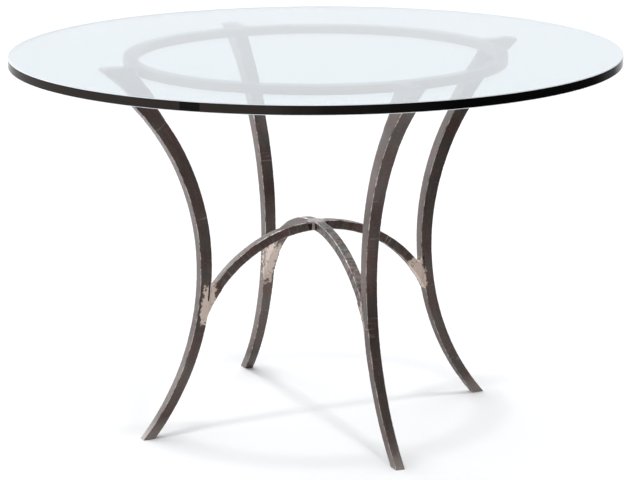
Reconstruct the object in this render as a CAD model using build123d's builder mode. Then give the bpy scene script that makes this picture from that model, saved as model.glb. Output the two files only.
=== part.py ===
from build123d import *
import os
from math import asin, cos, radians, sin, sqrt

# A round glass dining table on a welded base of square steel bar. Four legs bow in to a waist
# and out again to the floor and to the glass, and are drawn to a taper, thick at the glass and
# thin at the floor. Two arches cross under the middle and tie opposite legs together, and a
# ring of flat bar ties the tops of the legs under the glass.
# Millimetres, +Z up, origin on the floor under the centre of the table, -Y is the front.

# ---- Glass ----
table_height = 762.0
glass_diameter = 1219.0
glass_thickness = 19.0
glass_arris = 1.2            # flat that breaks the polished edge, top and bottom

# ---- Soft discs that the glass lies on ----
bumper_height = 3.0
bumper_diameter = 12.0
bumper_edge = 0.8

# ---- Legs: tapered square bar, bent to one radius above the waist and to another below ----
leg_top_bar = 31.0           # across the flats at the top
leg_foot_bar = 19.0          # and on the floor
waist_height = 345.0
waist_radius = 246.0         # table's axis to the leg's centreline, at the waist
foot_radius = 374.0          # the same on the floor
top_radius = 434.0           # the same at the top of the base
bar_edge = 1.0               # flat that breaks the long edges of every bar

# ---- Ring of flat bar, and the gussets that reach out from it to the legs ----
ring_width = 25.4
ring_height = 18.0
ring_gap = 6.5               # ring's outer face to a leg's inner side, at the ring's underside
gusset_drop = 92.0           # how far the gusset runs down the leg
gusset_toe_angle = 3.0       # degrees between its free edge and the leg, where the two part
gusset_tuck = 3.0            # how far its free edge starts in under the ring

# ---- Arches: square bar rolled to part of a circle ----
arch_bar = 19.0
crown_height = 413.0         # top of the arches where they cross
arch_foot_height = 241.0     # where an arch's underside runs out on the leg
lap_clearance = 0.1          # side gap of the half-lap at the crossing

# ---- Welds ----
arch_weld_length = 65.0      # along an arch, up from its foot
arch_weld_size = 12.0        # fill in the crook between the arch and the leg
crown_weld_size = 7.0
crown_weld_inset = 1.5       # how far the crown's welds stay below and above the bars' faces
ring_weld_size = 5.0
ring_weld_inset = 1.0

corner_angles = {"front_left": 225, "front_right": 315, "back_right": 45, "back_left": 135}
quarter_angles = {"front": 270, "right": 0, "back": 90, "left": 180}


def bend_radius(reach, rise):
    """Radius of an arc that leaves the upright and moves out by reach while it rises."""
    return (reach**2 + rise**2) / (2 * reach)


# ---- Sizes that follow from those above ----
base_top = table_height - glass_thickness - bumper_height
upper_rise = base_top - waist_height
upper_bend = bend_radius(top_radius - waist_radius, upper_rise)
lower_bend = bend_radius(foot_radius - waist_radius, waist_height)
upper_turn = asin(upper_rise / upper_bend)
lower_turn = asin(waist_height / lower_bend)

# The bar thickens evenly along its length, so each side leans away from the centreline by a
# small angle all the way up.
lower_length = lower_bend * lower_turn
leg_lean = (leg_top_bar - leg_foot_bar) / 2 / (lower_length + upper_bend * upper_turn)
waist_bar = leg_foot_bar + 2 * leg_lean * lower_length


def side_circle(height, side):
    """Radius, reach and height of the circle that a leg's side follows at a height.

    The side is 1 for the outer one and -1 for the inner one. Its circle starts at the waist with
    the side's lean, and ends at the side's corner on the floor or at the top.
    """
    start = waist_radius + side * waist_bar / 2
    if height > waist_height:
        end = top_radius + side * leg_top_bar / 2 / cos(upper_turn)
        rise, lean = upper_rise, side * leg_lean
    else:
        end = foot_radius + side * leg_foot_bar / 2 / cos(lower_turn)
        rise, lean = -waist_height, side * leg_lean
    reach = end - start
    radius = (reach**2 + rise**2) / 2 / (reach * cos(lean) - rise * sin(lean))
    return radius, start + radius * cos(lean), waist_height - radius * sin(lean)


def leg_side(height, side):
    """Table's axis to a leg's outer (1) or inner (-1) side at a height."""
    radius, centre_reach, centre_height = side_circle(height, side)
    return centre_reach - sqrt(radius**2 - (height - centre_height) ** 2)


def leg_width(height):
    """Leg's size sideways at a height."""
    return leg_foot_bar + (leg_top_bar - leg_foot_bar) * height / base_top


def flat_half(height):
    """Middle of a leg's inner face to its broken edge, at a height."""
    return leg_width(height) / 2 - bar_edge


leg_top_inside = leg_side(base_top, -1)
leg_top_outside = leg_side(base_top, 1)
ring_bottom = base_top - ring_height
ring_radius = leg_side(ring_bottom, -1) - ring_gap
gusset_foot = base_top - gusset_drop

# The arch's underside is a circle through the crown and the point where it meets the leg.
crown_underside = crown_height - arch_bar
arch_foot_radius = leg_side(arch_foot_height, -1)
arch_centre = (crown_underside**2 - arch_foot_height**2 - arch_foot_radius**2) / (
    2 * (crown_underside - arch_foot_height)
)
arch_inside = crown_underside - arch_centre
arch_outside = arch_inside + arch_bar
lap_height = crown_height - arch_bar / 2
crown_flank = crown_weld_size / sqrt(2)


def upright_plane(angle):
    """Plane through the table's axis, with x outwards at this angle and y up."""
    outwards = (cos(radians(angle)), sin(radians(angle)), 0)
    sideways = (sin(radians(angle)), -cos(radians(angle)), 0)
    return Plane(origin=(0, 0, 0), x_dir=outwards, z_dir=sideways)


def facing_plane(angle):
    """Upright plane through the axis, square to that one, that faces outwards with y up."""
    outwards = (cos(radians(angle)), sin(radians(angle)), 0)
    sideways = (-sin(radians(angle)), cos(radians(angle)), 0)
    return Plane(origin=(0, 0, 0), x_dir=sideways, z_dir=outwards)


def flat_plane(height, angle):
    """Level plane at a height, with x outwards at this angle."""
    return Plane.XY.offset(height).rotated((0, 0, angle))


def side_arcs(side, low, high):
    """Arcs of the leg's outer (1) or inner (-1) side between two heights, broken at the waist."""
    heights = [low, waist_height, high] if low < waist_height < high else [low, high]
    for start, end in zip(heights, heights[1:]):
        middle = (start + end) / 2
        ThreePointArc(*[(leg_side(height, side), height) for height in (start, middle, end)])


def arch_point(radius, angle):
    """Point on a circle about the arch's centre, at an angle in radians from the upright."""
    return (radius * sin(angle), arch_centre + radius * cos(angle))


def arch_arc(radius, start, end):
    """Arc about the arch's centre between two such angles."""
    ThreePointArc(*[arch_point(radius, angle) for angle in (start, (start + end) / 2, end)])


def arch_angle_at_leg(radius):
    """Angle at which a circle about the arch's centre comes down to the leg's inner side."""
    low, high = 0.0, asin(arch_foot_radius / arch_inside)
    for _ in range(50):
        middle = (low + high) / 2
        reach, height = arch_point(radius, middle)
        if reach < leg_side(height, -1):
            low = middle
        else:
            high = middle
    return low


def finish(part, name):
    """Label a finished piece and write it out."""
    part.part.label = name
    export_step(part.part, f"parts/{name}.step")


os.makedirs("parts", exist_ok=True)

# ---- Glass ----
with BuildPart() as glass_top:
    with BuildSketch(Plane.XY.offset(base_top + bumper_height)):
        Circle(glass_diameter / 2)
    extrude(amount=glass_thickness)
    chamfer(glass_top.edges().filter_by(GeomType.CIRCLE), glass_arris)
finish(glass_top, "glass_top")

# ---- Ring ----
with BuildPart() as top_ring:
    with BuildSketch(Plane.XY.offset(ring_bottom)):
        Circle(ring_radius)
        Circle(ring_radius - ring_width, mode=Mode.SUBTRACT)
    extrude(amount=ring_height)
    chamfer(top_ring.edges().filter_by(GeomType.CIRCLE), bar_edge)
finish(top_ring, "top_ring")

# ---- Legs: the bend seen from the side, cut to the taper seen from the front ----
for corner, angle in corner_angles.items():
    with BuildPart() as leg:
        with BuildSketch(upright_plane(angle)):
            with BuildLine():
                side_arcs(1, 0, base_top)
                side_arcs(-1, 0, base_top)
                Line((leg_side(0, -1), 0), (leg_side(0, 1), 0))
                Line((leg_top_inside, base_top), (leg_top_outside, base_top))
            make_face()
        extrude(amount=leg_top_bar, both=True)
        with BuildSketch(facing_plane(angle)):
            with BuildLine():
                Polyline(
                    (-leg_foot_bar / 2, 0),
                    (leg_foot_bar / 2, 0),
                    (leg_top_bar / 2, base_top),
                    (-leg_top_bar / 2, base_top),
                    close=True,
                )
            make_face()
        extrude(amount=2 * top_radius, mode=Mode.INTERSECT)
        chamfer(leg.edges().filter_by(GeomType.LINE, reverse=True), bar_edge)
    finish(leg, f"leg_{corner}")


# ---- Arches ----
def make_arch(angle, notch_side):
    """Rolled bar between two opposite legs, notched to half its depth where it crosses the other."""
    with BuildPart() as arch:
        with BuildSketch(upright_plane(angle)):
            with Locations((0, arch_centre)):
                Circle(arch_outside)
                Circle(arch_inside, mode=Mode.SUBTRACT)
        extrude(amount=arch_bar / 2, both=True)
        chamfer(arch.edges().filter_by(GeomType.CIRCLE), bar_edge)
        # Keep what lies between the legs' inner sides and above the arch's feet.
        with BuildSketch(upright_plane(angle)):
            with BuildLine():
                side_arcs(-1, 0, base_top)
                Line((leg_top_inside, base_top), (0, base_top))
                Line((0, base_top), (0, 0))
                Line((0, 0), (leg_side(0, -1), 0))
            make_face()
            mirror(about=Plane.YZ)
            Rectangle(2 * foot_radius, 2 * arch_foot_height, mode=Mode.SUBTRACT)
        extrude(amount=arch_bar, both=True, mode=Mode.INTERSECT)
        with BuildSketch(upright_plane(angle)):
            with Locations((0, lap_height)):
                Rectangle(arch_bar + 2 * lap_clearance, arch_bar, align=(Align.CENTER, notch_side))
        extrude(amount=arch_bar, both=True, mode=Mode.SUBTRACT)
    return arch


arch_under = make_arch(corner_angles["back_right"], Align.MIN)
finish(arch_under, "arch_front_left_back_right")
arch_over = make_arch(corner_angles["back_left"], Align.MAX)
finish(arch_over, "arch_front_right_back_left")

# ---- Welds at the arches' feet: a fill in the crook and a cheek on each side of the bar ----
foot_angle = asin(arch_foot_radius / arch_inside)
crook_angle = arch_angle_at_leg(arch_outside)
weld_end_angle = foot_angle - arch_weld_length / arch_outside
fill_angle = crook_angle - arch_weld_size / arch_outside
fill_top = arch_point(arch_outside, crook_angle)[1] + arch_weld_size

for corner, angle in corner_angles.items():
    with BuildPart() as arch_weld:
        with BuildSketch(upright_plane(angle)):
            with BuildLine():
                side_arcs(-1, arch_foot_height, fill_top)
                Line((leg_side(fill_top, -1), fill_top), arch_point(arch_outside, fill_angle))
                arch_arc(arch_outside, fill_angle, weld_end_angle)
                Line(arch_point(arch_outside, weld_end_angle), arch_point(arch_inside, weld_end_angle))
                arch_arc(arch_inside, weld_end_angle, foot_angle)
            make_face()
        extrude(amount=flat_half(arch_foot_height), both=True)
        add(arch_under.part if corner in ("front_left", "back_right") else arch_over.part, mode=Mode.SUBTRACT)
    finish(arch_weld, f"arch_weld_{corner}")

# ---- Welds in the four corners where the arches cross ----
with BuildPart() as crown_weld:
    with BuildSketch(Plane.XY.offset(crown_underside + crown_weld_inset)):
        with PolarLocations(arch_bar / sqrt(2), 4):
            Polygon((0, 0), (crown_flank, -crown_flank), (crown_flank, crown_flank), align=None)
    extrude(amount=arch_bar - 2 * crown_weld_inset)
    add(arch_under.part, mode=Mode.SUBTRACT)
    add(arch_over.part, mode=Mode.SUBTRACT)
finish(crown_weld, "crown_weld")

# ---- Gussets between the ring and the legs, and the welds that hold them to the ring ----
# The free edge is an arc that leaves the leg's inner side almost along it and ends under the ring.
gusset_start = (leg_side(gusset_foot, -1), gusset_foot)
gusset_end = (ring_radius - gusset_tuck, ring_bottom)
gusset_back = (gusset_end[0], base_top)
side_bend, _, bend_height = side_circle(gusset_foot, -1)
start_lean = asin((gusset_foot - bend_height) / side_bend) - radians(gusset_toe_angle)
along_leg = (sin(start_lean), cos(start_lean))
gusset_half = flat_half(gusset_foot)

for corner, angle in corner_angles.items():
    with BuildPart() as gusset:
        with BuildSketch(upright_plane(angle)):
            with BuildLine():
                side_arcs(-1, gusset_foot, base_top)
                Line((leg_top_inside, base_top), gusset_back)
                Line(gusset_back, gusset_end)
                TangentArc(gusset_start, gusset_end, tangent=along_leg)
            make_face()
        extrude(amount=gusset_half, both=True)
        with BuildSketch(Plane.XY.offset(ring_bottom)):
            Circle(ring_radius)
        extrude(amount=ring_height, mode=Mode.SUBTRACT)
    finish(gusset, f"ring_gusset_{corner}")

    with BuildPart() as ring_weld:
        with BuildSketch(flat_plane(ring_bottom + ring_weld_inset, angle)):
            Polygon(
                (ring_radius - ring_weld_size, gusset_half),
                (ring_radius + ring_weld_size, gusset_half),
                (ring_radius - ring_weld_size, gusset_half + 2 * ring_weld_size),
                align=None,
            )
            mirror(about=Plane.XZ)
            Circle(ring_radius, mode=Mode.SUBTRACT)
        extrude(amount=ring_height - 2 * ring_weld_inset)
    finish(ring_weld, f"ring_weld_{corner}")


# ---- Bumpers: one on each leg and one on each quarter of the ring ----
def make_bumper(radius, angle, name):
    """Clear disc stuck to the base, with a broken top edge."""
    with BuildPart() as bumper:
        with BuildSketch(flat_plane(base_top, angle)):
            with Locations((radius, 0)):
                Circle(bumper_diameter / 2)
        extrude(amount=bumper_height)
        chamfer(bumper.edges().group_by(Axis.Z)[-1], bumper_edge)
    finish(bumper, name)


for corner, angle in corner_angles.items():
    make_bumper((leg_top_inside + leg_top_outside) / 2, angle, f"bumper_leg_{corner}")
for quarter, angle in quarter_angles.items():
    make_bumper(ring_radius - ring_width / 2, angle, f"bumper_ring_{quarter}")
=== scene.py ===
# %% [markdown]
# # A round glass table on a welded steel base
#
# A thick glass disc lies on eight soft bumpers over a base of square steel bar. Four legs bow in to a
# waist, two arches cross under the middle, and a ring of flat bar ties the tops of the legs. This lesson
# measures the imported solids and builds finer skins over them, with worn mill scale, ground welds and
# polished glass.

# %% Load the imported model
from math import asin, cos, hypot, pi, radians, sin

import bmesh
import bpy
import numpy as np
from mathutils import Matrix, Vector, noise


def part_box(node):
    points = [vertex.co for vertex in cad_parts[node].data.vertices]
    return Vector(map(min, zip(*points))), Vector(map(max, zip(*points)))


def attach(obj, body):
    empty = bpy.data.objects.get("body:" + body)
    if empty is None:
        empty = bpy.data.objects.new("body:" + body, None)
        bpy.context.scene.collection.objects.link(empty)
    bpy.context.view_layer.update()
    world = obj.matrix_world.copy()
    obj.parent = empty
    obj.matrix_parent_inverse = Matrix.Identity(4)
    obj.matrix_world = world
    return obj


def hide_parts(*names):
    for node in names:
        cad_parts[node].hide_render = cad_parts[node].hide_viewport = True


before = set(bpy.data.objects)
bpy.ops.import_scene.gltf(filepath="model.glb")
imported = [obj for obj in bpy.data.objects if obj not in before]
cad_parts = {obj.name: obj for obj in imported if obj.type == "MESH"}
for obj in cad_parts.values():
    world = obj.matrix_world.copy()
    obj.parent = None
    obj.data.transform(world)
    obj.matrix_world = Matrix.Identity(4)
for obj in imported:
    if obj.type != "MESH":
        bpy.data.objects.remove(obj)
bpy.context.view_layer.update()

MM = 0.001

# %% [markdown]
# ## The camera
# The table is seen from above the front right, from nearly five metres away through a long lens, so its
# legs hardly converge. The camera is set by where it looks and by its angle and distance. It keeps a hair
# of roll, because a hand-set tripod has one.

# %% Place the camera
LENS = 132.15  # mm, on a sensor 36 mm wide
CAMERA_DISTANCE = 4.778
CAMERA_ELEVATION = radians(13.77)
CAMERA_AZIMUTH = radians(20.4)  # from the front towards the right
CAMERA_ROLL = radians(0.228)
LOOK_HEIGHT = 0.3706
LOOK_SIDEWAYS = 0.0073


def put_in_scene(name, data):
    """New object in the scene that holds this data."""
    thing = bpy.data.objects.new(name, data)
    bpy.context.scene.collection.objects.link(thing)
    return thing


data = bpy.data.cameras.new("camera")
data.lens = LENS
camera = put_in_scene("camera", data)
aim = Matrix.Rotation(CAMERA_AZIMUTH, 4, "Z") @ Matrix.Rotation(pi / 2 - CAMERA_ELEVATION, 4, "X")
step_back = Matrix.Translation((LOOK_SIDEWAYS, 0, CAMERA_DISTANCE))
roll = Matrix.Rotation(-CAMERA_ROLL, 4, "Z")
camera.matrix_world = Matrix.Translation((0, 0, LOOK_HEIGHT)) @ aim @ step_back @ roll
bpy.context.scene.camera = camera
print("camera at", tuple(round(v, 3) for v in camera.matrix_world.translation))

# %% [markdown]
# ## Wiring nodes
# The sky, the finishes and the swept shapes are trees of nodes. One tree at a time is in hand. A node is
# added to it and fed in one go: a plain value is set on its input, and a node or a socket is linked to
# it. So a tree reads like a calculation, from its first texture to its output.

# %% Make and feed nodes
in_hand = {}


def feed(node, inputs):
    """Set inputs, given by name or number, to plain values, or link them to nodes and sockets."""
    for key, value in inputs.items():
        if isinstance(value, bpy.types.Node):
            value = next(socket for socket in value.outputs if socket.enabled)
        if isinstance(value, bpy.types.NodeSocket):
            node.id_data.links.new(value, node.inputs[key])
        else:
            node.inputs[key].default_value = value
    return node


def begin(tree):
    """Take a tree in hand: nodes go into it until the next one is begun."""
    in_hand["tree"] = tree
    return tree


def add(kind, inputs=None, **settings):
    """New node with its settings and its inputs, in the tree in hand."""
    node = in_hand["tree"].nodes.new(kind)
    for key, value in settings.items():
        setattr(node, key, value)
    return feed(node, inputs or {})


def maths(operation, *values, **settings):
    """Math node on numbers."""
    return add("ShaderNodeMath", dict(enumerate(values)), operation=operation, **settings)


def vector_maths(operation, *values):
    """Math node on vectors."""
    return add("ShaderNodeVectorMath", dict(enumerate(values)), operation=operation)


def scaled(vector, factor):
    """Vector or colour times a number."""
    return add("ShaderNodeVectorMath", {0: vector, "Scale": factor}, operation="SCALE")


def ramp(value, low, high, start=0.0, end=1.0, shape="LINEAR"):
    """Number that goes from start to end while the value goes from low to high."""
    return add("ShaderNodeMapRange", {0: value, 1: low, 2: high, 3: start, 4: end},
               interpolation_type=shape)


def blend(share, first, second, **settings):
    """Colour that goes from the first to the second while the share goes from 0 to 1."""
    return add("ShaderNodeMix", {0: share, 6: first, 7: second}, data_type="RGBA", **settings)


def blend_numbers(share, first, second):
    """The same for two numbers."""
    return add("ShaderNodeMix", {0: share, 2: first, 3: second}, data_type="FLOAT")


def mapped(place, scale, rotation=(0, 0, 0)):
    """Place that is turned and stretched before a texture reads it."""
    return add("ShaderNodeMapping", {"Vector": place, "Rotation": rotation, "Scale": scale})


def grain(place, scale, detail=2.0, roughness=0.5):
    """Noise texture."""
    return add("ShaderNodeTexNoise",
               {"Vector": place, "Scale": scale, "Detail": detail, "Roughness": roughness})


def own_place():
    """Place on the object itself, which goes with it when it moves."""
    return add("ShaderNodeTexCoord").outputs["Object"]


def new_material(name):
    """New material, whose tree is then in hand, and its shader."""
    material = bpy.data.materials.new(name)
    material.use_nodes = True
    print("material", name)
    return material, begin(material.node_tree).nodes["Principled BSDF"]


print("node helpers are ready")

# %% [markdown]
# ## The studio
# Dark satin steel is drawn by what it reflects. Soft light comes from the left, from behind and from
# overhead, while the front right stays dim, so one face of each bar turns grey and the next nearly
# black. A sky that changes smoothly with direction gives this light with less noise than area lights do.
# Seen directly or through the glass it is plain white, and a perfect mirror such as the glass finds its
# bright side all round. A ray that came off a shiny surface before it passes the glass gets the sky as it
# is, or the steel below would mirror white.

# %% Build the sky
LIGHT_SIDE = Vector((-0.86, 0.42, 0.28)).normalized()
SIDE_SPREAD = 0.35  # how far the change from dim to bright reaches past the middle
SKY_BRIGHT = (0.90, 0.925, 0.955, 1)
SKY_DIM = (0.105, 0.080, 0.071, 1)
SKY_TOP = (0.33, 0.75)  # from how high up the sky counts as overhead, and where it is so in full
SKY_TOP_GAIN = 1.5  # the sky overhead is this much brighter than the sky below it
SKY_TOP_MIRRORED = 0.58  # the same for what shiny surfaces find there
KEY_FROM = Vector((-0.80, 0.45, 0.40)).normalized()
KEY_SPREAD = (0.85, 0.98)  # the key light's rim and its full part, as cosines
KEY_LIGHT = 1.3
WHITE = (1, 1, 1, 1)
LAMP_FROM = (0.04, -0.08, 1.0)
LAMP_STRENGTH = 0.80
LAMP_WIDTH = 7  # degrees, so shadows blur with height

bpy.context.scene.view_settings.view_transform = "Standard"
world = bpy.data.worlds.new("studio")
bpy.context.scene.world = world
world.use_nodes = True
begin(world.node_tree).nodes.clear()
direction = add("ShaderNodeTexCoord").outputs["Generated"]
path = add("ShaderNodeLightPath").outputs

# The dim and the bright side, and a bright sky all round for a perfect mirror.
facing = vector_maths("DOT_PRODUCT", direction, LIGHT_SIDE)
spread = ramp(facing, -SIDE_SPREAD, SIDE_SPREAD, shape="SMOOTHSTEP")
glinting = maths("SUBTRACT", path["Is Singular Ray"], path["Is Transmission Ray"], use_clamp=True)
side = blend(maths("MAXIMUM", spread, glinting), SKY_DIM, SKY_BRIGHT)

# The sky overhead and the key light.
height = add("ShaderNodeSeparateXYZ", {0: direction}).outputs["Z"]
top_gain = blend_numbers(path["Is Glossy Ray"], SKY_TOP_GAIN, SKY_TOP_MIRRORED)
overhead = ramp(height, *SKY_TOP, 1.0, top_gain, shape="SMOOTHSTEP")
towards_key = vector_maths("DOT_PRODUCT", direction, KEY_FROM)
key = ramp(towards_key, *KEY_SPREAD, 0.0, KEY_LIGHT, shape="SMOOTHSTEP")
lit = vector_maths("ADD", scaled(side, overhead), key)

# Plain white for the eye, also through the glass.
direct = maths("LESS_THAN", path["Glossy Depth"], 0.5)
looked_through = maths("MULTIPLY", path["Is Transmission Ray"], direct)
looked_at = maths("MAXIMUM", path["Is Camera Ray"], looked_through)
light = add("ShaderNodeBackground", {"Color": lit})
white = add("ShaderNodeBackground", {"Color": WHITE})
seen = add("ShaderNodeMixShader", {0: looked_at, 1: light, 2: white})
add("ShaderNodeOutputWorld", {"Surface": seen})

# A distant lamp almost straight overhead draws the thin shadows of the legs on the floor.
data = bpy.data.lights.new("overhead_lamp", "SUN")
data.energy = LAMP_STRENGTH
data.angle = radians(LAMP_WIDTH)
lamp = put_in_scene("overhead_lamp", data)
lamp.rotation_euler = Vector(LAMP_FROM).to_track_quat("Z", "Y").to_euler()
print("sky and lamp are ready")

# %% [markdown]
# The floor is a wide white sheet. For rays that come off a shiny surface only, its colour turns dark towards
# the front right in two steps, as a painted reflection for the steel to mirror: grey under the table, as
# painted shade of the table, and black further out. The eye and diffuse light still find it white.

# %% Lay the floor
FLOOR_REACH = 30.0
FLOOR_WHITE = (0.95, 0.95, 0.95, 1)
MIRRORED_DARK = (0.128, 0.095, 0.083, 1)
MIRRORED_DARK_SIDE = Vector((0.90, -0.44, 0))
MIRRORED_SHADE_UNDER_TABLE = (-0.65, -0.40)  # metres from the table's axis to where it starts and is full
MIRRORED_SHADE_SHARE = 0.50  # how far the painted shade under the table goes towards the dark
MIRRORED_DARK_FAR = (0.50, 1.40)

mesh = bpy.data.meshes.new("floor")
signs = ((-1, -1), (1, -1), (1, 1), (-1, 1))
mesh.from_pydata([(x * FLOOR_REACH, y * FLOOR_REACH, 0) for x, y in signs], [], [(0, 1, 2, 3)])
floor = put_in_scene("floor", mesh)
material, shader = new_material("pale_floor")
# Painted reflection: grey under the table as painted shade, black further out, only for shiny rays.
aside = vector_maths("DOT_PRODUCT", own_place(), MIRRORED_DARK_SIDE)
shade_below_table = ramp(aside, *MIRRORED_SHADE_UNDER_TABLE, 0.0, MIRRORED_SHADE_SHARE)
dark_further_out = ramp(aside, *MIRRORED_DARK_FAR, 0.0, 1 - MIRRORED_SHADE_SHARE)
painted_mirrored_dark = maths("ADD", shade_below_table, dark_further_out)
path = add("ShaderNodeLightPath").outputs
reflected = maths("SUBTRACT", path["Is Glossy Ray"], path["Is Transmission Ray"], use_clamp=True)
mirrored = maths("MULTIPLY", painted_mirrored_dark, reflected)
feed(shader, {"Base Color": blend(mirrored, FLOOR_WHITE, MIRRORED_DARK), "Roughness": 0.9,
              "Specular IOR Level": 0.0})
mesh.materials.append(material)
print("floor is ready")

# %% [markdown]
# ## Measuring the solids
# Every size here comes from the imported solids, so the skins follow when the table is resized. A leg lies
# in an upright plane through the axis and thickens from the floor up. Each of its sides is two arcs that
# meet at the waist. Between the leg's ends, no height holds as many vertices as that seam, which gives
# the waist away. The middle of the leg at the floor, waist and top gives both bends.

# %% Measure the bars
CORNERS = {"front_left": 225, "front_right": 315, "back_right": 45, "back_left": 135}
CLEAR_OF_ENDS = 10 * MM
SAME_LEVEL = 0.1 * MM


def outwards(angle):
    """Level direction away from the axis, at an angle in degrees."""
    return Vector((cos(radians(angle)), sin(radians(angle)), 0))


def sideways(angle):
    """Level direction square to that one."""
    return Vector((sin(radians(angle)), -cos(radians(angle)), 0))


def upwards(height):
    """Point on the axis."""
    return Vector((0, 0, height))


def measured(node, angle):
    """Reach outwards, offset sideways and height of each vertex of a CAD node."""
    points = np.array([vertex.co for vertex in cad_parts[node].data.vertices])
    return points @ np.array(outwards(angle)), points @ np.array(sideways(angle)), points[:, 2]


def bend_radius(reach, rise):
    """Radius of an arc that leaves the upright and moves out by reach while it rises."""
    return (reach**2 + rise**2) / (2 * reach)


def extent(values):
    """Difference between the largest and the smallest value, and the middle between them."""
    return values.max() - values.min(), (values.max() + values.min()) / 2


reach, across, height = measured("leg_back_right", CORNERS["back_right"])
base_top = height.max()
levels, counts = np.unique(np.round(height, 4), return_counts=True)
inner_levels = (levels > CLEAR_OF_ENDS) & (levels < base_top - CLEAR_OF_ENDS)
waist_height = levels[inner_levels][counts[inner_levels].argmax()]
on_floor, at_waist, at_top = (abs(height - level) < SAME_LEVEL for level in (0, waist_height, base_top))
foot_bar = extent(across[on_floor])[0]
top_bar = extent(across[at_top])[0]
foot_centre, waist_reach, top_centre = (extent(reach[rows])[1] for rows in (on_floor, at_waist, at_top))
lower_bend = bend_radius(foot_centre - waist_reach, waist_height)
upper_bend = bend_radius(top_centre - waist_reach, base_top - waist_height)
print(f"leg {foot_bar:.4f} to {top_bar:.4f}, waist {waist_reach:.4f} at {waist_height:.4f}, "
      f"bends {lower_bend:.4f} {upper_bend:.4f}")

# %% [markdown]
# An arch is part of a circle in the same kind of plane. The top of its crown and the point where its
# underside runs out on the leg are enough to find the circle's centre.

# %% Measure the arches and the ring
reach, across, height = measured("arch_front_right_back_left", CORNERS["back_left"])
arch_bar = extent(across)[0]
crown_top = height.max()
foot_height = height.min()
foot_reach = abs(reach[height.argmin()])
crown_underside = crown_top - arch_bar
arch_centre = (crown_underside**2 - foot_height**2 - foot_reach**2) / (2 * (crown_underside - foot_height))
arch_radius = crown_top - arch_bar / 2 - arch_centre
arch_half_angle = asin(foot_reach / (arch_radius - arch_bar / 2))

ring_low, ring_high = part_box("top_ring")
ring_outside = ring_high.x
ring_inside = min(hypot(vertex.co.x, vertex.co.y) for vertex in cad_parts["top_ring"].data.vertices)
print(f"arch radius {arch_radius:.4f} about {arch_centre:.4f}, ring {ring_inside:.4f} to {ring_outside:.4f}")

# %% [markdown]
# ## Shared effects
# Four things show on the steel: the skin of mill scale, bright metal where edges are rubbed, the marks of
# handwork, and bare patches where welds were ground. Each is a node group, so that bars, plates and beads
# can use it with their own values. Groups hand out masks, values and colours, and no shader.

# %% Make and use node groups
FLOAT, VECTOR, COLOUR = "NodeSocketFloat", "NodeSocketVector", "NodeSocketColor"
GEOMETRY, MATERIAL = "NodeSocketGeometry", "NodeSocketMaterial"


def new_group(name, inputs, outputs, kind="ShaderNodeTree"):
    """Node tree with its sockets, which is then in hand, and what it is given."""
    tree = begin(bpy.data.node_groups.new(name, kind))
    for way, sockets in (("INPUT", inputs), ("OUTPUT", outputs)):
        for label, socket in sockets.items():
            tree.interface.new_socket(label, in_out=way, socket_type=socket)
    print(name, "takes", *inputs, "and gives", *outputs)
    return tree, add("NodeGroupInput").outputs


def use_group(group, **inputs):
    """Place a node group, with its inputs given by name."""
    return add("ShaderNodeGroup", inputs, node_tree=group)


print("group helpers are ready")

# %% [markdown]
# ### Mill scale
# Hot-rolled bar comes with a dark oxide skin. It is never one colour: it drifts between a cold grey and
# a warm brown, is streaked by the rolls, and has small pits. A wide noise mixes the colours and a wider
# one shades them. A noise stretched along the bar draws the streaks, and a fine one makes the pits.

# %% Build the mill scale group
ROLLED = (22, 420, 420)  # how fine the streaks are along the bar and across it

mill_scale, given = new_group(
    "Mill_Scale", {"Place": VECTOR, "Along": VECTOR, "Grey": COLOUR, "Brown": COLOUR, "Streaks": FLOAT},
    {"Colour": COLOUR, "Roughness": FLOAT, "Height": FLOAT})
place = given["Place"]
tint = ramp(grain(place, scale=26, detail=4, roughness=0.6), 0.38, 0.62)
skin = blend(tint, given["Grey"], given["Brown"])
rolled = grain(mapped(given["Along"], ROLLED), scale=1, detail=5, roughness=0.65)
streak = ramp(rolled, 0.35, 0.75, 0.72, 1.35)
streaked = blend(given["Streaks"], skin, streak, blend_type="MULTIPLY")
tone = ramp(grain(place, scale=6), 0.35, 0.65, 0.72, 1.18)
pits = ramp(grain(place, scale=520, detail=3, roughness=0.6), 0.30, 0.52)
add("NodeGroupOutput", {"Colour": scaled(streaked, tone), "Roughness": ramp(rolled, 0.3, 0.7, 0.36, 0.52),
                        "Height": maths("ADD", maths("MULTIPLY", rolled, 0.6), pits)})

# %% [markdown]
# ### Rubbed edges
# The long edges of a bar lose their skin first, in runs and nicks rather than in a clean line. The
# bars carry a value called edge, which is 1 on the corner of the section. The group breaks it up with
# noise.

# %% Build the rubbed edge group
BREAK_UP = 1.6  # how much the noise adds or takes away, from end to end
BARE_FROM = 1.25  # sum of edge, noise and amount from which metal is bare
BARE_BORDER = 0.25

rubbed_edge, given = new_group(
    "Rubbed_Edge", {"Place": VECTOR, "Edge": FLOAT, "Amount": FLOAT}, {"Mask": FLOAT})
runs = grain(given["Place"], scale=60, detail=6, roughness=0.7)
broken = maths("ADD", given["Edge"], maths("MULTIPLY_ADD", runs, BREAK_UP, -BREAK_UP / 2))
above = maths("SUBTRACT", broken, maths("SUBTRACT", BARE_FROM, given["Amount"]))
add("NodeGroupOutput", {"Mask": ramp(above, 0.0, BARE_BORDER)})

# %% [markdown]
# ### Worked marks
# The bar was hammered and dressed by hand. Short marks lie across it in places, and long thin
# scratches run at a slant. Both are lighter than the skin. A wave would set the marks too evenly, so a
# noise squeezed along the bar makes them, another noise says where they show, and a third, stretched
# nearly sixtyfold, makes the scratches.

# %% Build the worked marks group
MARKED = (190, 14, 14)  # the same for the marks
SCRATCHED = (12, 700, 700)  # and for the scratches, which are turned to a slant
SLANT = (0.5, 0.35, 0.8)

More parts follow.
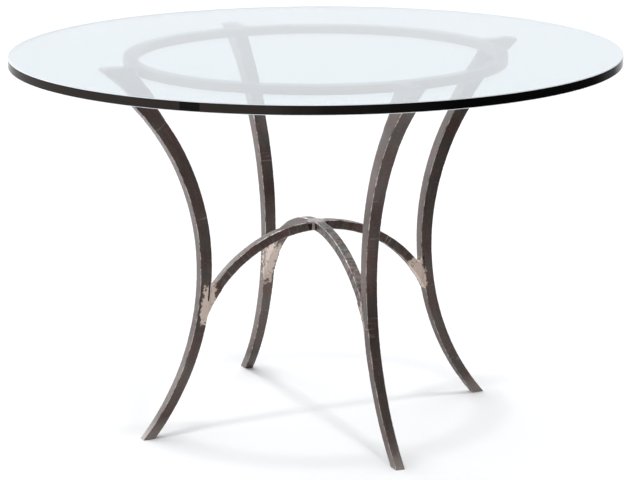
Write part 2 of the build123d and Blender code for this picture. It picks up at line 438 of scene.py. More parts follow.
worked_marks, given = new_group(
    "Worked_Marks", {"Place": VECTOR, "Along": VECTOR, "Marks": FLOAT, "Scratches": FLOAT}, {"Mask": FLOAT})
bands = ramp(grain(mapped(given["Along"], MARKED), scale=1), 0.60, 0.70)
places = ramp(grain(given["Place"], scale=17), 0.52, 0.62)
marks = maths("MULTIPLY", maths("MULTIPLY", bands, places), given["Marks"])
lines = ramp(grain(mapped(given["Place"], SCRATCHED, SLANT), scale=1), 0.66, 0.72)
scratches = maths("MULTIPLY", lines, given["Scratches"])
add("NodeGroupOutput", {"Mask": maths("MAXIMUM", marks, scratches)})

# %% [markdown]
# ### Ground patches
# After welding, the joints were ground back to bare metal and lacquered before they could darken. The
# patch ends in ragged tongues where the disc lifted off, and brown scale is left along its rim. The
# group adds noise to a point's distance from the middle of a box with well rounded corners. Made
# narrow, it also draws painted shade: a near-black strip in the crook of a joint, where shade falls.

# %% Build the ground patch group
BORDER = (1.06, 0.94)  # distances, in half sizes, between which the mask rises
RIM = (0.45, 0.95)  # and between which the band along the rim sets in

ground_patch, given = new_group(
    "Ground_Patch", {"Place": VECTOR, "Middle": VECTOR, "Turn": VECTOR, "Size": VECTOR, "Ragged": FLOAT,
                     "Strength": FLOAT}, {"Mask": FLOAT, "Rim": FLOAT})
inside = add("ShaderNodeMapping",
             {"Vector": given["Place"], "Location": given["Middle"], "Rotation": given["Turn"],
              "Scale": given["Size"]}, vector_type="TEXTURE")
squared = vector_maths("MULTIPLY", inside, inside)
distance = maths("SQRT", vector_maths("LENGTH", squared))
tongues = grain(given["Place"], scale=120, detail=5, roughness=0.62)
border = maths("MULTIPLY_ADD", maths("SUBTRACT", tongues, 0.5), given["Ragged"], distance)
mask = maths("MULTIPLY", ramp(border, *BORDER), given["Strength"])
add("NodeGroupOutput", {"Mask": mask, "Rim": ramp(border, *RIM)})

# %% [markdown]
# ## The steel
# Each joint was ground a little differently, so every patch has its own place and size, measured
# outwards, sideways and upwards from the foot of its arch, and leans with its leg. Patches are given in
# object space, so they run on across the seams between leg, weld and arch, as the grinding disc did.

# %% Say where the disc went and where shade is painted
GROUND = [
    # corner, then outwards, sideways and up to the middle and half sizes the same way, all in mm,
    # and how bare the metal is
    ("front_left", (-1, -8, 25), (15, 15, 44), 1.0),
    ("front_right", (-7, 4, 22), (11, 9, 38), 0.6),
    ("back_right", (-18, 6, 34), (19, 12, 38), 0.9),
    ("back_left", (-24, -2.5, 34), (36, 12, 54), 0.85),
]
# Painted shade: narrow near-black strips in the crook where each arch meets its leg, where shade falls.
CROOK_SHADE = [
    ("front_left", (-3.5, -8, 50), (1.8, 9, 20), 1.0),
    ("front_right", (-4, 8, 50), (2.2, 6, 22), 0.8),
    ("back_right", (-5, 8, 58), (2.4, 9, 14), 0.9),
    ("back_left", (-4, -8, 52), (1.6, 6, 24), 0.8),
]
CROWN_GROUND = (19 * MM, 19 * MM, 6 * MM)
# Painted shade in the four inner corners where the arches cross.
CROWN_SHADE_REACH = 17 * MM
CROWN_SHADE_DROP = 11 * MM
CROWN_SHADE = (9 * MM, 9 * MM, 7 * MM)


def patch_place(corner, middle, half_sizes, strength):
    """Middle, turn, size and strength of a patch near the foot of an arch, for the group's inputs."""
    angle = CORNERS[corner]
    out, aside, up = (value * MM for value in middle)
    place = outwards(angle) * (foot_reach + out) + sideways(angle) * aside + upwards(foot_height + up)
    lean = asin((waist_height - place.z) / lower_bend)
    return place, (0, -lean, radians(angle)), tuple(value * MM for value in half_sizes), strength


ground_places = [patch_place(*row) for row in GROUND]
crown_places = [((0, 0, crown_top), (0, 0, radians(45)), CROWN_GROUND, 1.0)]
crook_shade_places = [patch_place(*row) for row in CROOK_SHADE]
crown_shade_places = [(outwards(90 * turn) * CROWN_SHADE_REACH + upwards(crown_top - CROWN_SHADE_DROP),
                      (0, 0, 0), CROWN_SHADE, 0.8) for turn in range(4)]
print("ground patches", len(ground_places), "crook_shade", len(crook_shade_places))

# %% [markdown]
# One recipe makes every steel finish: mill scale first, then worked marks, rubbed edges and painted light
# that makes the steel paler towards the floor, then the ground patches, and painted shade in the crooks of
# the joints last. Mill scale is nearly metallic but dark, ground metal is pale and scatters light, and a
# thin satin lacquer lies over both. The arches were hammered into place, one arm more than the others,
# which shows as bands of lighter and darker skin.

# %% Mix the steel finishes
SCALE_GREY = (0.185, 0.170, 0.158, 1)
SCALE_BROWN = (0.205, 0.148, 0.135, 1)
SCALE_METALLIC = 0.9
BARE_METAL_AND_FOOT_LIGHT = (0.76, 0.70, 0.65, 1)
GROUND_PALE = (0.78, 0.65, 0.56, 1)
GROUND_BROWN = (0.15, 0.090, 0.065, 1)
GROUND_METALLIC = 0.1
GROUND_ROUGHNESS = 0.55
CROWN_PALE = (0.44, 0.42, 0.39, 1)
BEAD_PALE = (0.47, 0.37, 0.35, 1)
CROOK_SHADE_BLACK = (0.030, 0.022, 0.018, 1)
BUMP_DEPTH = 0.30 * MM
# Painted light: within this height the feet turn paler, standing in for light off the white floor.
FOOT_LIGHT_REACH = 0.045  # metres above the floor
FOOT_LIGHT_SHARE = 0.4
GRIND_RAGGED = 1.2
CROOK_SHADE_RAGGED = 0.8
RIM_PULL = 0.14  # how much the rim helps the noise to make specks
SPECKS = (0.64, 0.70)  # noise from which there are specks, and from which they are full
HAMMER_BLOWS = (150, 60, 60)  # how close the blows lie along the bar and across it
HAMMER_BANDS = (0.40, 0.60)  # noise between which a dark band turns light
HAMMERED_ARM = outwards(CORNERS["front_right"])  # the arm of the arches that was hammered most
HAMMERED_ELSEWHERE = 0.15
HAMMERED_FADE = 30 * MM  # from the crown out to where that arm has all its marks


def attribute(name, output):
    """Value that a mesh carries under a name."""
    return add("ShaderNodeAttribute", attribute_name=name).outputs[output]


def patches(place, places, ragged, output):
    """Strongest value of several patches at a point."""
    strongest = None
    for middle, turn, size, strength in places:
        patch = use_group(ground_patch, Place=place, Middle=middle, Turn=turn, Size=size,
                          Ragged=ragged, Strength=strength).outputs[output]
        keep = "MAXIMUM" if output == "Mask" else "MINIMUM"
        strongest = maths(keep, strongest, patch) if strongest else patch
    return strongest


def hammer(skin, run, place, depth):
    """Skin in lighter and darker bands across the bar, strongest on one arm."""
    blows = grain(mapped(run, HAMMER_BLOWS), scale=1, detail=1.5)
    shine = ramp(blows, *HAMMER_BANDS, 1 - depth, 1 + depth / 2)
    along_arm = vector_maths("DOT_PRODUCT", place, HAMMERED_ARM)
    share = ramp(along_arm, 0.0, HAMMERED_FADE, HAMMERED_ELSEWHERE, 1.0)
    return scaled(skin, blend_numbers(share, 1.0, shine))


def grind(place, ground, crown, pale):
    """Colour of ground metal with brown specks along its rim, and where it shows."""
    mask = patches(place, ground, GRIND_RAGGED, "Mask")
    rim = patches(place, ground, GRIND_RAGGED, "Rim")
    specks = grain(place, scale=130, detail=5, roughness=0.6)
    speckled = ramp(maths("ADD", maths("MULTIPLY", rim, RIM_PULL), specks), *SPECKS)
    colour = blend(speckled, pale, GROUND_BROWN)
    if crown:
        crown_mask = patches(place, crown, GRIND_RAGGED, "Mask")
        colour = blend(crown_mask, colour, CROWN_PALE)
        mask = maths("MAXIMUM", mask, crown_mask)
    return colour, mask


def mix_steel(name, ground=(), crown=(), crook_shade=(), pale=GROUND_PALE, along="bar", wear=0.45, marks=0.3,
              hammered=0.0):
    """Steel with mill scale, hammer blows, worked marks, rubbed edges, painted floor light, ground patches
    and painted shade.
    """
    material, shader = new_material(name)
    place = own_place()
    run = attribute(along, "Vector") if along else place
    scale = use_group(mill_scale, Place=place, Along=run, Streaks=0.6, Grey=SCALE_GREY,
                      Brown=SCALE_BROWN).outputs
    worn = use_group(rubbed_edge, Place=place, Edge=attribute("edge", "Fac"), Amount=wear)
    worked = use_group(worked_marks, Place=place, Along=run, Marks=marks, Scratches=0.5)
    level = add("ShaderNodeSeparateXYZ", {0: place}).outputs["Z"]
    # Painted light: paler towards the floor, mixed in with the bare metal of rubbed edges and marks.
    foot = ramp(level, FOOT_LIGHT_REACH, 0.0, 0.0, FOOT_LIGHT_SHARE)
    bare_and_foot_light = maths("MAXIMUM", maths("MAXIMUM", worn, worked), foot)
    skin = hammer(scale["Colour"], run, place, hammered) if hammered else scale["Colour"]
    colour = blend(bare_and_foot_light, skin, BARE_METAL_AND_FOOT_LIGHT)
    rough = scale["Roughness"]
    metallic = SCALE_METALLIC
    if ground:
        ground_colour, mask = grind(place, ground, crown, pale)
        colour = blend(mask, colour, ground_colour)
        rough = blend_numbers(mask, rough, GROUND_ROUGHNESS)
        metallic = ramp(mask, 0.0, 1.0, SCALE_METALLIC, GROUND_METALLIC)
    if crook_shade:
        # Painted shade, near black, in the crooks of the joints.
        colour = blend(patches(place, crook_shade, CROOK_SHADE_RAGGED, "Mask"), colour, CROOK_SHADE_BLACK)
    bump = add("ShaderNodeBump", {"Strength": 0.6, "Distance": BUMP_DEPTH, "Height": scale["Height"]})
    feed(shader, {"Base Color": colour, "Roughness": rough, "Metallic": metallic, "Normal": bump,
                  "Coat Weight": 0.15, "Coat Roughness": 0.3})
    return material


leg_steel = mix_steel("leg_steel", ground_places, crook_shade=crook_shade_places)
arch_steel = mix_steel("arch_steel", ground_places, crown_places, crook_shade_places + crown_shade_places, marks=0.8,
                       hammered=0.42)
ring_steel = mix_steel("ring_steel", wear=0.35)
plate_steel = mix_steel("plate_steel", along=None, wear=0.35)
weld_steel = mix_steel("weld_steel", ground_places, crook_shade=crook_shade_places, along=None)
everywhere = [((0, 0, foot_height), (0, 0, 0), (1.0, 1.0, 1.0), 0.9)]
bead_steel = mix_steel("bead_steel", everywhere, pale=BEAD_PALE, along=None)

# %% [markdown]
# ## Bars along a path
# A bent bar is one section carried along one line, so Geometry Nodes suit it. The tree sweeps a square
# with rounded corners along a curve, at the scale each point asks for, and then disturbs the surface the
# way a smith's rollers and vice do, with a slow sway, shallow dents and nicks on the edges. It leaves two
# values on the surface for the shaders: bar, which is the place along and across the bar, and edge.

# %% Build the bar tree
EDGE_REACH = (4.5 * MM, 0.8 * MM)  # from the sharp corner to where edge is 0, and to where it is 1
NICKED = (0.52, 0.75)  # noise from which there are nicks, and from which they are full


def store(geometry, name, value, kind="FLOAT"):
    """Keep a value on the geometry under a name."""
    return add("GeometryNodeStoreNamedAttribute", {"Geometry": geometry, "Name": name, "Value": value},
               data_type=kind)


def stored(name, kind="FLOAT"):
    """Read such a value."""
    return add("GeometryNodeInputNamedAttribute", {"Name": name}, data_type=kind)


def finish_tree(geometry, material, output):
    """End a tree with real geometry that has its material."""
    real = add("GeometryNodeRealizeInstances", {0: geometry})
    finished = add("GeometryNodeSetMaterial", {"Geometry": real, "Material": material})
    add("NodeGroupOutput", {output: finished})


bar_nodes, given = new_group(
    "Bar_Along_Path", {"Path": GEOMETRY, "Width": FLOAT, "Depth": FLOAT, "Corner": FLOAT, "Grid": FLOAT,
                       "Sway": FLOAT, "Dents": FLOAT, "Nicks": FLOAT, "Seed": FLOAT, "Material": MATERIAL},
    {"Bar": GEOMETRY}, "GeometryNodeTree")
place = add("GeometryNodeInputPosition")


def lumps(scale, detail):
    """Noise that differs from bar to bar."""
    return add("ShaderNodeTexNoise",
               {"Vector": place, "W": given["Seed"], "Scale": scale, "Detail": detail},
               noise_dimensions="4D")


# The section, with its own place stored on it.
square = add("GeometryNodeCurvePrimitiveQuadrilateral", {"Width": given["Width"], "Height": given["Depth"]})
rounded = add("GeometryNodeFilletCurve", {"Curve": square, "Radius": given["Corner"], "Count": 3},
              mode="POLY")
even = add("GeometryNodeResampleCurve", {"Curve": rounded, "Length": given["Grid"]}, mode="LENGTH")
section = store(even, "section", place, "FLOAT_VECTOR")

# The path, with its length stored on it, and the sweep.
spline = add("GeometryNodeSplineParameter")
path = store(given["Path"], "length", spline.outputs["Length"])
sweep = add("GeometryNodeCurveToMesh",
            {"Curve": path, "Profile Curve": section, "Scale": add("GeometryNodeInputRadius"),
             "Fill Caps": True})

# How near a point is to a corner of the section.
own = stored("section", "FLOAT_VECTOR")
sides = add("ShaderNodeCombineXYZ", {0: given["Width"], 1: given["Depth"]})
corner = vector_maths("MULTIPLY", sides, (0.5, 0.5, 0.5))
gap = vector_maths("DISTANCE", vector_maths("ABSOLUTE", own), corner)
near = ramp(gap, *EDGE_REACH)

# Sway, dents and nicks.
swing = vector_maths("SUBTRACT", lumps(scale=9, detail=1).outputs["Color"], (0.5, 0.5, 0.5))
dents = maths("MULTIPLY", maths("SUBTRACT", lumps(scale=75, detail=3), 0.5), given["Dents"])
nicked = ramp(lumps(scale=190, detail=2), *NICKED, 0.0, -1.0)
nicks = maths("MULTIPLY", nicked, given["Nicks"])
depth = maths("ADD", dents, maths("MULTIPLY", nicks, near))
inwards = scaled(add("GeometryNodeInputNormal"), depth)
offset = vector_maths("ADD", scaled(swing, given["Sway"]), inwards)
moved = add("GeometryNodeSetPosition", {"Geometry": sweep, "Offset": offset})

# What the shaders read: the place along and across the bar, and the edge.
split = add("ShaderNodeSeparateXYZ", {0: own}).outputs
bar = add("ShaderNodeCombineXYZ", {0: stored("length"), 1: split["X"], 2: split["Y"]})
marked = store(store(moved, "bar", bar, "FLOAT_VECTOR"), "edge", near)
smooth = add("GeometryNodeSetShadeSmooth", {"Geometry": marked})
finish_tree(smooth, given["Material"], "Bar")

# %% [markdown]
# A tree works on an object as a modifier. The helper sets the modifier's inputs by their identifiers,
# evaluates the object once and keeps the result as a plain mesh, so nothing live is left behind.

# %% Turn a path into a mesh
def evaluated(thing):
    """Plain mesh of an object as its modifiers leave it."""
    bpy.context.view_layer.update()
    return bpy.data.meshes.new_from_object(thing.evaluated_get(bpy.context.evaluated_depsgraph_get()))


def run_tree(name, source, tree, values):
    """Run a Geometry Nodes tree on an object, and return the result as a plain mesh object."""
    modifier = source.modifiers.new("tree", "NODES")
    modifier.node_group = tree
    for socket in tree.interface.items_tree:
        if socket.in_out == "INPUT" and socket.name in values:
            modifier[socket.identifier] = values[socket.name]
    result = evaluated(source)
    source.modifiers.remove(modifier)
    bpy.data.objects.remove(source)
    return put_in_scene(name, result)


def path_object(name, lines, closed=False, scales=None):
    """Curve object with a straight-run spline for each line, and the scale of the bar at each point."""
    curve = bpy.data.curves.new(name, "CURVE")
    curve.dimensions = "3D"
    curve.twist_mode = "Z_UP" if closed else "MINIMUM"
    for points in lines:
        spline = curve.splines.new("POLY")
        spline.points.add(len(points) - 1)
        for target, point, scale in zip(spline.points, points, scales or [1] * len(points)):
            target.co = (*point, 1)
            target.radius = scale
        spline.use_cyclic_u = closed
    return put_in_scene(name, curve)


def dress(piece, nodes, body="base"):
    """Let a piece ride on its body in place of CAD nodes, and say what was made."""
    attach(piece, body)
    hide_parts(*nodes)
    print(piece.name, "faces", len(piece.data.polygons), "box", [round(v, 4) for v in piece.dimensions])


print("helpers are ready")

# %% [markdown]
# ## The legs
# Each leg is one bar, drawn to a taper and bent round two formers. So its path is two arcs that meet at
# the waist, and carries the size of the bar at each point. It runs on past the floor and the top, and the
# ends are then cut level, as a saw would do. Each leg gets its own seed, because no two hand-made bars
# are alike.

# %% Bend the legs
STATION = 3.2 * MM  # distance between the sections of a bar
OVERRUN = 12 * MM  # extra bar at each end, cut off later
GRID = 1.15 * MM  # distance between the points of a section
CORNER_ROUND = 1.6 * MM
SWAY = 0.9 * MM
DENTS = 0.45 * MM
NICKS = 0.7 * MM
FIRST_SEED = 3.1


def arc_angles(start, end, radius):
    """Angles along an arc, one station apart."""
    count = max(2, round(abs(end - start) * radius / STATION))
    return [start + (end - start) * step / count for step in range(count + 1)]


def leg_path(angle):
    """Centreline of a leg from below the floor to above its top."""
    lowest = -asin(waist_height / lower_bend) - OVERRUN / lower_bend
    highest = asin((base_top - waist_height) / upper_bend) + OVERRUN / upper_bend
    points = []
    for bend, angles in ((lower_bend, arc_angles(lowest, 0, lower_bend)[:-1]),
                         (upper_bend, arc_angles(0, highest, upper_bend))):
        for turn in angles:
            reach = waist_reach + bend * (1 - cos(turn))
            points.append(outwards(angle) * reach + upwards(waist_height + bend * sin(turn)))
    return points


def taper(points):
    """Scale of the bar at each point of a leg's path, which is 1 at the top of the base."""
    runs = [0] + [(after - before).length for before, after in zip(points, points[1:])]
    along = np.cumsum(runs)
    share = (along - OVERRUN) / (along[-1] - 2 * OVERRUN)
    return list((foot_bar + (top_bar - foot_bar) * share) / top_bar)


def cut_level(piece, height, keep):
    """Cut a mesh by a level plane, keep one side ("above" or "below"), and close the cut."""
    mesh = bmesh.new()
    mesh.from_mesh(piece.data)
    everything = mesh.verts[:] + mesh.edges[:] + mesh.faces[:]
    cut = bmesh.ops.bisect_plane(mesh, geom=everything, plane_co=(0, 0, height), plane_no=(0, 0, 1),
                                 clear_inner=keep == "above", clear_outer=keep == "below")
    rim = [item for item in cut["geom_cut"] if isinstance(item, bmesh.types.BMEdge)]
    cap = bmesh.ops.edgeloop_fill(mesh, edges=rim)
    bmesh.ops.recalc_face_normals(mesh, faces=mesh.faces)
    for face in cap["faces"]:
        face.smooth = False
    mesh.to_mesh(piece.data)
    mesh.free()


def sweep_bar(name, points, width, depth, seed, material, closed=False, scales=None):
    """Bar swept along a path."""
    values = {"Width": width, "Depth": depth, "Corner": CORNER_ROUND, "Grid": GRID, "Sway": SWAY,
              "Dents": DENTS, "Nicks": NICKS, "Seed": seed, "Material": material}
    return run_tree(name, path_object(name + "_path", [points], closed, scales), bar_nodes, values)


for number, (corner, angle) in enumerate(CORNERS.items()):
    path = leg_path(angle)
    leg = sweep_bar(f"bent_leg_{corner}", path, top_bar, top_bar, FIRST_SEED + number, leg_steel,
                    scales=taper(path))
    cut_level(leg, 0.0, "above")
    cut_level(leg, base_top, "below")
    dress(leg, [f"leg_{corner}"])

# %% [markdown]
# ## The arches
# An arch is one bar rolled to part of a circle. Its ends run down the inner faces of two legs and
# vanish into the welds. Where the two arches cross, each is notched to half its depth, so that their
# tops lie level. The notch is cut with a box, as a file would cut it.

# %% Roll the arches
LAP_GAP = 0.1 * MM


def arch_path(angle):
    """Centreline of an arch from leg to leg."""
    return [outwards(angle) * (arch_radius * sin(turn)) + upwards(arch_centre + arch_radius * cos(turn))
            for turn in arc_angles(-arch_half_angle, arch_half_angle, arch_radius)]


def keep_mesh(name, mesh):
    """Object in the scene with what was modelled, which is then closed."""
    result = bpy.data.meshes.new(name)
    mesh.to_mesh(result)
    mesh.free()
    return put_in_scene(name, result)


def notch(piece, angle, height, from_above):
    """Cut away half the depth of a bar where the other one crosses it."""
    low, high = (height, height + arch_bar) if from_above else (height - arch_bar, height)
    size = Matrix.Diagonal((arch_bar + 2 * LAP_GAP, 2 * arch_bar, arch_bar, 1))
    turn = Matrix.Rotation(radians(angle), 4, "Z")
    mesh = bmesh.new()
    bmesh.ops.create_cube(mesh, size=1, matrix=Matrix.Translation((0, 0, (low + high) / 2)) @ turn @ size)
    cutter = keep_mesh("notch", mesh)
    modifier = piece.modifiers.new("notch", "BOOLEAN")
    modifier.operation = "DIFFERENCE"
    modifier.solver = "EXACT"
    modifier.object = cutter
    piece.data = evaluated(piece)
    piece.modifiers.clear()
    bpy.data.objects.remove(cutter)


for name, corner, seed, from_above in (("arch_front_left_back_right", "back_right", 11.7, True),
                                       ("arch_front_right_back_left", "back_left", 12.9, False)):
    arch = sweep_bar(f"rolled_{name}", arch_path(CORNERS[corner]), arch_bar, arch_bar, seed, arch_steel)
    notch(arch, CORNERS[corner], crown_top - arch_bar / 2, from_above)
    dress(arch, [name])

# %% [markdown]
# ## The ring
# The ring is flat bar rolled the hard way and welded shut. Its path is a circle, and the same tree
# sweeps it, wider than it is deep.

# %% Roll the ring
ring_reach = (ring_inside + ring_outside) / 2
ring_middle = (ring_low.z + ring_high.z) / 2
ring_stations = round(2 * pi * ring_reach / STATION)
ring_path = [outwards(360 * step / ring_stations) * ring_reach + upwards(ring_middle)
             for step in range(ring_stations)]
ring = sweep_bar("rolled_ring", ring_path, ring_outside - ring_inside, ring_high.z - ring_low.z,
                 seed=21.3, material=ring_steel, closed=True)
dress(ring, ["top_ring"])

# %% [markdown]
# ## The gussets
# A gusset is a cut plate between the ring and a leg. Its outline is already right in the solid, so the
# skin starts as a merged copy of it. The flats are cleaned of their loose triangles and the edges get
# a small round.

# %% Ease the edges of the gussets
EASE = 1.0 * MM
EASE_STEPS = 2
FLAT_WITHIN = radians(1)
SHARP_FROM = radians(35)
SHADED_SHARP_FROM = radians(40)
MERGE_WITHIN = 0.01 * MM


def cover(piece, *materials):
    """Smooth shading and materials for a piece."""
    piece.data.shade_smooth()
    piece.data.materials.clear()
    for material in materials:
        piece.data.materials.append(material)
    return piece


def merged_copy(node):
    """Copy of a CAD node whose loose triangles share their corners."""
    mesh = bmesh.new()
    mesh.from_mesh(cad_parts[node].data)
    bmesh.ops.remove_doubles(mesh, verts=mesh.verts, dist=MERGE_WITHIN)
    return mesh


for corner in CORNERS:
    mesh = merged_copy(f"ring_gusset_{corner}")
    bmesh.ops.dissolve_limit(mesh, angle_limit=FLAT_WITHIN, verts=mesh.verts, edges=mesh.edges)
    sharp = [edge for edge in mesh.edges if edge.calc_face_angle(0) > SHARP_FROM]
    bmesh.ops.bevel(mesh, geom=sharp, offset=EASE, segments=EASE_STEPS, profile=0.5, affect="EDGES")
    gusset = cover(keep_mesh(f"cut_gusset_{corner}", mesh), plate_steel)
    gusset.data.set_sharp_from_angle(angle=SHADED_SHARP_FROM)
    dress(gusset, [f"ring_gusset_{corner}"])

# %% [markdown]
# ## The dressed welds
# At the foot of an arch the weld fills the crook over the bar and both its flanks, and was ground
# until it ran into the leg. A solid with crisp edges would look like a wedge, so its copy is rebuilt
# in small voxels, softened, and given the low waves that a grinding disc leaves.

# %% Dress the welds at the feet of the arches
WELD_VOXEL = 0.8 * MM
SOFTENINGS = 2
GRIND_WAVES = 0.35 * MM
LONG_WAVE = 7 * MM
SHORT_WAVE = 2.5 * MM

for corner in CORNERS:
    mesh = merged_copy(f"arch_weld_{corner}")
    bmesh.ops.recalc_face_normals(mesh, faces=mesh.faces)
    weld = keep_mesh(f"dressed_weld_{corner}", mesh)
    remesh = weld.modifiers.new("voxels", "REMESH")
    remesh.mode = "VOXEL"
    remesh.voxel_size = WELD_VOXEL
    soften = weld.modifiers.new("soften", "SMOOTH")
    soften.iterations = SOFTENINGS
    weld.data = evaluated(weld)
    weld.modifiers.clear()
    vertices = weld.data.vertices
    for vertex, normal in zip(vertices, [vertex.normal.copy() for vertex in vertices]):
        wave = noise.noise(vertex.co / LONG_WAVE) + 0.5 * noise.noise(vertex.co / SHORT_WAVE)
        vertex.co += normal * wave * GRIND_WAVES
    cover(weld, weld_steel)
    dress(weld, [f"arch_weld_{corner}"])

# %% [markdown]
# ## The weld beads
# Where nothing was ground, a bead shows the pulse of the torch: a row of overlapping puddles. That is a
# shape repeated along a path, so a second tree sets a flattened ball on each point of a short line and
# sizes it a little differently each time.

# %% Build the bead tree
PUDDLE_SHAPE = (1.0, 1.0, 0.55)
PUDDLE_SIZES = (0.9, 1.08)

bead_nodes, given = new_group(
    "Bead_Along_Path", {"Path": GEOMETRY, "Pitch": FLOAT, "Radius": FLOAT, "Seed": "NodeSocketInt",
                        "Material": MATERIAL}, {"Bead": GEOMETRY}, "GeometryNodeTree")
points = add("GeometryNodeCurveToPoints", {"Curve": given["Path"], "Length": given["Pitch"]},
             mode="LENGTH").outputs
puddle = add("GeometryNodeMeshUVSphere", {"Segments": 14, "Rings": 8, "Radius": given["Radius"]})
shape = add("ShaderNodeCombineXYZ", dict(enumerate(PUDDLE_SHAPE)))
chance = add("FunctionNodeRandomValue",
             {2: PUDDLE_SIZES[0], 3: PUDDLE_SIZES[1], "Seed": given["Seed"]}, data_type="FLOAT")
lay = add("GeometryNodeInstanceOnPoints",
          {"Points": points["Points"], "Instance": puddle,
           "Rotation": points["Rotation"], "Scale": scaled(shape, chance)})
smooth = add("GeometryNodeSetShadeSmooth", {"Geometry": lay})
finish_tree(smooth, given["Material"], "Bead")

# %% [markdown]
# Two short beads hold each gusset to the ring, one on each side of the plate, and four more fill the
# corners where the arches cross. Each stops just short of the faces of its bars.

# %% Lay the beads at the ring and at the crown
BEAD_PITCH = 1.6 * MM
RING_BEAD = 2.6 * MM
CROWN_BEAD = 4.8 * MM
BEAD_END = 2.6 * MM  # a bead stops this far short of the bars' faces
BEAD_SINK = 0.3 * MM


def lay_bead(name, feet, low, high, radius, seed):
    """Upright beads over some points, as one mesh."""
    lines = [[foot + upwards(low + BEAD_END), foot + upwards(high - BEAD_END)] for foot in feet]
    values = {"Pitch": BEAD_PITCH, "Radius": radius, "Seed": seed, "Material": bead_steel}
    return run_tree(name, path_object(name, lines), bead_nodes, values)


plate_half = measured("ring_gusset_back_right", CORNERS["back_right"])[1].max()
for seed, (corner, angle) in enumerate(CORNERS.items()):
    feet = [outwards(angle) * (ring_outside - BEAD_SINK) + sideways(angle) * side * plate_half
            for side in (-1, 1)]
    bead = lay_bead(f"ring_bead_{corner}", feet, ring_low.z, ring_high.z, RING_BEAD, seed)
    dress(bead, [f"ring_weld_{corner}"])

crown_reach = arch_bar / 2 * 2**0.5
crown_feet = [outwards(90 * turn) * crown_reach for turn in range(4)]
crown_bead = lay_bead("crown_bead", crown_feet, crown_underside, crown_top, CROWN_BEAD, seed=9)
dress(crown_bead, ["crown_weld"])

# %% [markdown]
# ## The bumpers
# Eight clear domed dots keep the glass off the steel. They are alike, so one dot is turned on a lathe
# of twenty-four steps and set on eight points by a third small tree.

# %% Turn one bumper and set out eight
BUMPER_STEPS = 24
DOME_STEPS = 5
DOME_FOOT = 0.35  # share of the height below the dome
CLOUD_TINTS = ((0.80, 0.84, 0.83, 1), (0.92, 0.94, 0.93, 1))


def lathe(name, outline, steps, *materials):
    """Closed shape turned about the upright axis, from an outline of (radius, height) from axis to axis."""
    mesh = bmesh.new()
    turns = [2 * pi * step / steps for step in range(steps)]
    rings = []
    for radius, height in outline:
        places = [(radius * cos(turn), radius * sin(turn), height) for turn in turns]
        rings.append([mesh.verts.new(place) for place in (places if radius else places[:1])])
    for lower, upper in zip(rings, rings[1:]):
        for k in range(steps):
            after = (k + 1) % steps
            corners = (lower[k % len(lower)], lower[after % len(lower)],
                       upper[after % len(upper)], upper[k % len(upper)])
            mesh.faces.new(dict.fromkeys(corners))
    bmesh.ops.recalc_face_normals(mesh, faces=mesh.faces)
    return cover(keep_mesh(name, mesh), *materials)


bumper_names = sorted(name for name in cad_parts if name.startswith("bumper_"))
bumper_boxes = [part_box(name) for name in bumper_names]
bumper_size = bumper_boxes[0][1] - bumper_boxes[0][0]
rises = [0.5 * pi * step / DOME_STEPS for step in range(DOME_STEPS)]
dome = [(bumper_size.x / 2 * cos(rise) ** 0.5, bumper_size.z * (DOME_FOOT + (1 - DOME_FOOT) * sin(rise)))
        for rise in rises]
dot = lathe("bumper_dot", [(0, 0), (bumper_size.x / 2, 0)] + dome + [(0, bumper_size.z)], BUMPER_STEPS)
places = bpy.data.meshes.new("bumper_places")
spots = [((low.x + high.x) / 2, (low.y + high.y) / 2, low.z) for low, high in bumper_boxes]
places.from_pydata(spots, [], [])

# Soft clear plastic with a little cloud in it.
clear_plastic, shader = new_material("clear_bumper")
cloud = grain(own_place(), scale=400)
feed(shader, {"Base Color": blend(cloud, *CLOUD_TINTS), "Transmission Weight": 0.8, "IOR": 1.48,
              "Roughness": ramp(cloud, 0.0, 1.0, 0.15, 0.35)})

# The tree that sets a shape on each point of a mesh.
scatter, given = new_group(
    "Set_On_Points", {"Points": GEOMETRY, "Shape": "NodeSocketObject", "Material": MATERIAL},
    {"Pieces": GEOMETRY}, "GeometryNodeTree")
shape = add("GeometryNodeObjectInfo", {"Object": given["Shape"]})
lay = add("GeometryNodeInstanceOnPoints",
          {"Points": given["Points"], "Instance": shape.outputs["Geometry"]})
finish_tree(lay, given["Material"], "Pieces")

bumpers = run_tree("clear_bumpers", put_in_scene("bumper_places", places), scatter,
                   {"Shape": dot, "Material": clear_plastic})
bpy.data.objects.remove(dot)
dress(bumpers, bumper_names)

# %% [markdown]
# ## The glass
# The top is a single disc of thick float glass with a flat polished edge and a small arris. Looked at
# from a low angle it mirrors the white studio, so what lies under it goes pale. Its edge is the
# opposite: its colour is a painted reflection of the dark side of the room, brown on the left, where one
# black upright stands, and black on the right. Faces, edge and arris get materials of their own.

# %% Mix the glass
FACE_TINTS = ((0.70, 0.80, 0.835, 1), (0.76, 0.85, 0.88, 1))
GLASS_SHADE = (0.93, 0.93, 0.93, 1)  # what is left of the light that passes one face
EDGE_REFLECTION_TONES = ((0.003, 0.003, 0.003, 1), (0.040, 0.034, 0.030, 1))
EDGE_INSIDE_PAINTED_LIGHT = (0.80, 0.88, 0.90, 1)
EDGE_LIGHT_SIDE = Vector((-0.94, -0.34, 0))  # the edge's painted reflection is brown towards this side
EDGE_REFLECTED_BROWN = (0.02, 0.11)  # metres this way, from where the brown sets in to where it is full
EDGE_REFLECTED_DUSK = (-0.22, 0.0)  # the same for a fainter brown before it
REFLECTED_DUSK_SHARE = 0.3
REFLECTED_UPRIGHT = (0.257, 0.022)  # metres this way to a dark upright in the painted reflection, and half its width
REFLECTED_UPRIGHT_DEPTH = 0.75
EDGE_BANDS = (16, 16, 0.4)  # how fine the bands along the edge are
EDGE_STRAY = 0.08  # how far, in metres, the bands shift these borders
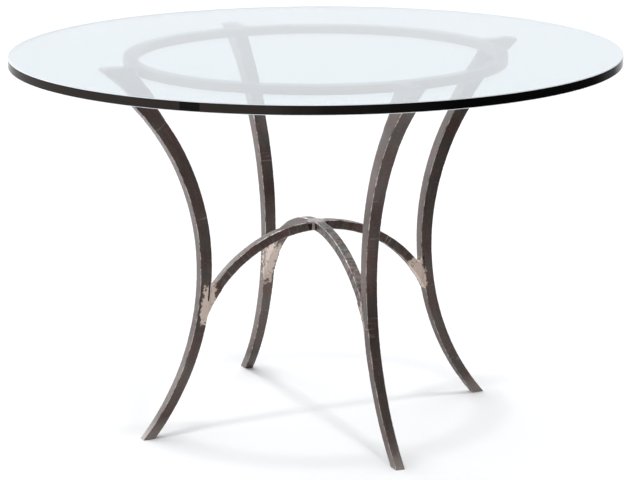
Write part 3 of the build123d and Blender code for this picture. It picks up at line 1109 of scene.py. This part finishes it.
ARRIS_TINTS = ((0.62, 0.70, 0.71, 1), (0.88, 0.93, 0.94, 1))

# The faces are clear and polished, with a faint film that varies over the surface.
glass_face, shader = new_material("glass_face")
film = grain(own_place(), scale=5, detail=6, roughness=0.6)
feed(shader, {"Base Color": blend(film, *FACE_TINTS), "Roughness": 0.0, "Transmission Weight": 1.0,
              "IOR": 1.52, "Coat Weight": 1.0, "Coat Roughness": 0.0, "Coat IOR": 1.5})
shadow = add("ShaderNodeLightPath").outputs["Is Shadow Ray"]
shade = add("ShaderNodeBsdfTransparent", {"Color": GLASS_SHADE})
feed(glass_face.node_tree.nodes["Material Output"],
     {"Surface": add("ShaderNodeMixShader", {0: shadow, 1: shader, 2: shade})})

# The edge is polished. Its colour is a painted reflection, dark from the front, and painted light, pale from
# inside the glass.
glass_edge, shader = new_material("glass_edge")
place = own_place()
bands = grain(mapped(place, EDGE_BANDS), scale=1, detail=5, roughness=0.7)
aside = vector_maths("DOT_PRODUCT", place, EDGE_LIGHT_SIDE)
level = maths("MULTIPLY_ADD", bands, EDGE_STRAY, aside)
reflected_brown = ramp(level, *EDGE_REFLECTED_BROWN, 0.0, 1 - REFLECTED_DUSK_SHARE)
reflected_dusk = ramp(level, *EDGE_REFLECTED_DUSK, 0.0, REFLECTED_DUSK_SHARE)
upright_in_reflection = maths("COMPARE", level, *REFLECTED_UPRIGHT)
beside_upright_reflection = maths("MULTIPLY_ADD", upright_in_reflection, -REFLECTED_UPRIGHT_DEPTH, 1.0)
painted_edge_reflection = blend(maths("MULTIPLY", maths("ADD", reflected_brown, reflected_dusk), beside_upright_reflection), *EDGE_REFLECTION_TONES)
backfacing = add("ShaderNodeNewGeometry").outputs["Backfacing"]
feed(shader, {"Base Color": blend(backfacing, painted_edge_reflection, EDGE_INSIDE_PAINTED_LIGHT),
              "Roughness": ramp(bands, 0.0, 1.0, 0.06, 0.14), "Specular IOR Level": 0.02})

# The arris is a fine ground flat that catches the light.
glass_arris, shader = new_material("glass_arris")
feed(shader, {"Base Color": blend(grain(own_place(), scale=60, detail=3), *ARRIS_TINTS), "Roughness": 0.35})

# %% [markdown]
# The disc is turned from an outline like a bumper. The tilt of each polygon then tells whether it is
# part of a face, of the edge or of the arris. Diffuse light skips the disc, because light that bounces
# off the floor would come through it as noise.

# %% Turn the glass
GLASS_STEPS = 360
EDGE_TILT = 0.1  # polygons that face up or down less than this are the edge
ARRIS_TILT = 0.9  # and less than this the arris
GLASS_SHARP_FROM = radians(30)
glass_low, glass_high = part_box("glass_top")
glass_radius = min(-glass_low.x, -glass_low.y, glass_high.x, glass_high.y)
glass_points = [vertex.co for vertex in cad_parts["glass_top"].data.vertices]
flat_radius = max(hypot(point.x, point.y) for point in glass_points if point.z > glass_high.z - SAME_LEVEL)
arris = glass_high.x - flat_radius
outline = [(0, glass_low.z), (glass_radius - arris, glass_low.z), (glass_radius, glass_low.z + arris),
           (glass_radius, glass_high.z - arris), (glass_radius - arris, glass_high.z), (0, glass_high.z)]
glass = lathe("glass_disc", outline, GLASS_STEPS, glass_face, glass_edge, glass_arris)
for face in glass.data.polygons:
    tilt = abs(face.normal.z)
    face.material_index = 1 if tilt < EDGE_TILT else 2 if tilt < ARRIS_TILT else 0
glass.data.set_sharp_from_angle(angle=GLASS_SHARP_FROM)
glass.visible_diffuse = False
dress(glass, ["glass_top"], body="glass")
